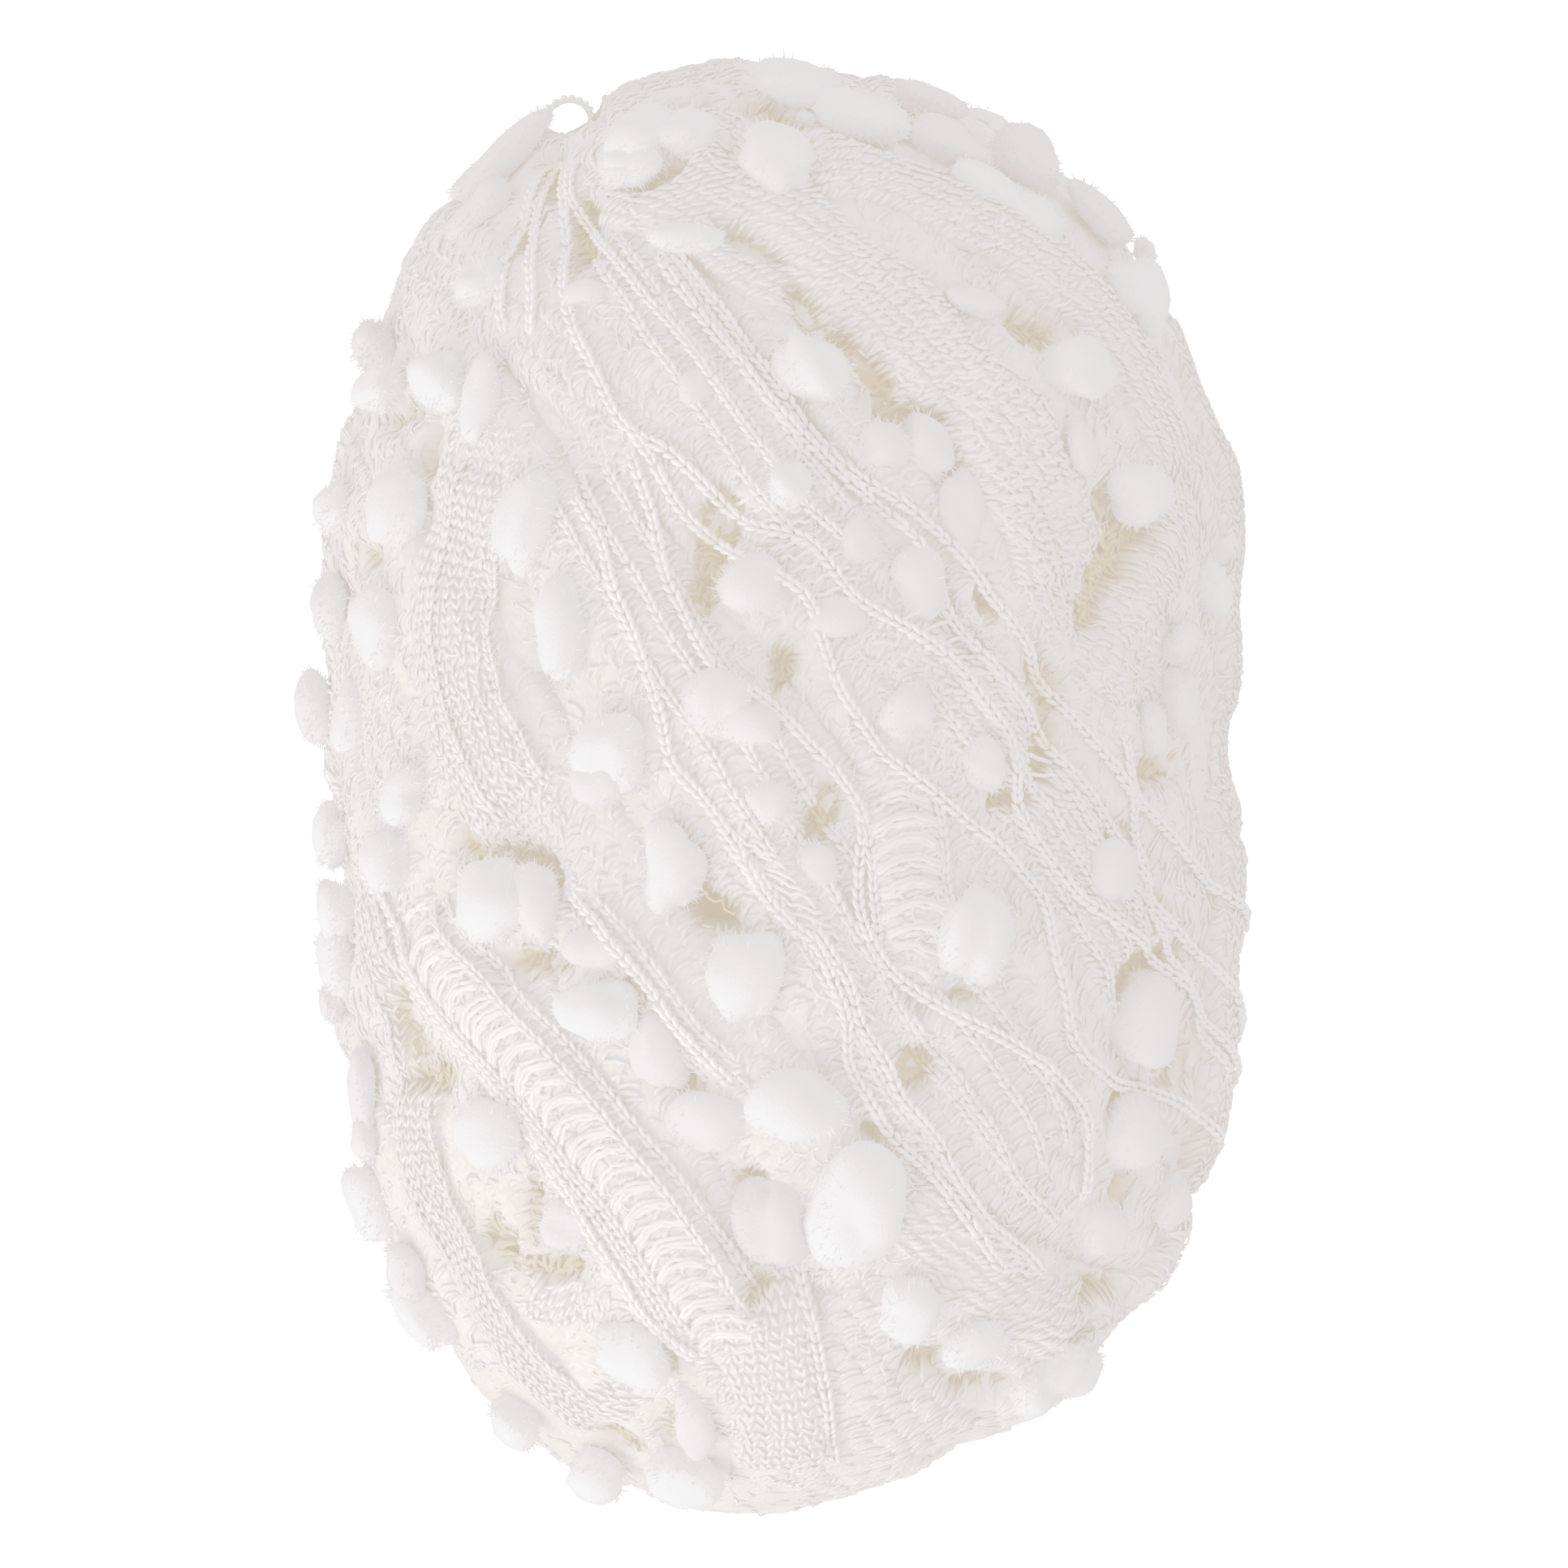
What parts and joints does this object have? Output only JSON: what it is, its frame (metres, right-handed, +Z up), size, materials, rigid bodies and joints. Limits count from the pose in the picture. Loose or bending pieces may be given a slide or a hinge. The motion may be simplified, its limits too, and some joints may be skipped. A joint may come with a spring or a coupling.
{
  "type": "ball of pompom yarn",
  "caption": "Oblong ball of ivory novelty yarn, a wide knitted net tape with chain-stitched cords and soft pompoms, wound slantwise and lying on its side.",
  "frame": {"origin": "on the floor under the middle of the ball's box, at the flat spot that it rests on", "axes": "+Y along the ball's long axis towards the end that is up in the picture, +X across it to the picture's right, +Z up from the floor"},
  "size_m": [0.1312, 0.2008, 0.1167],
  "materials": {
    "yarn_tape": "matt, soft knitted",
    "pompom": "matt cut pile"
  },
  "bodies": {
    "root": {"wound_ball": "yarn_tape"}
  },
  "joints": []
}
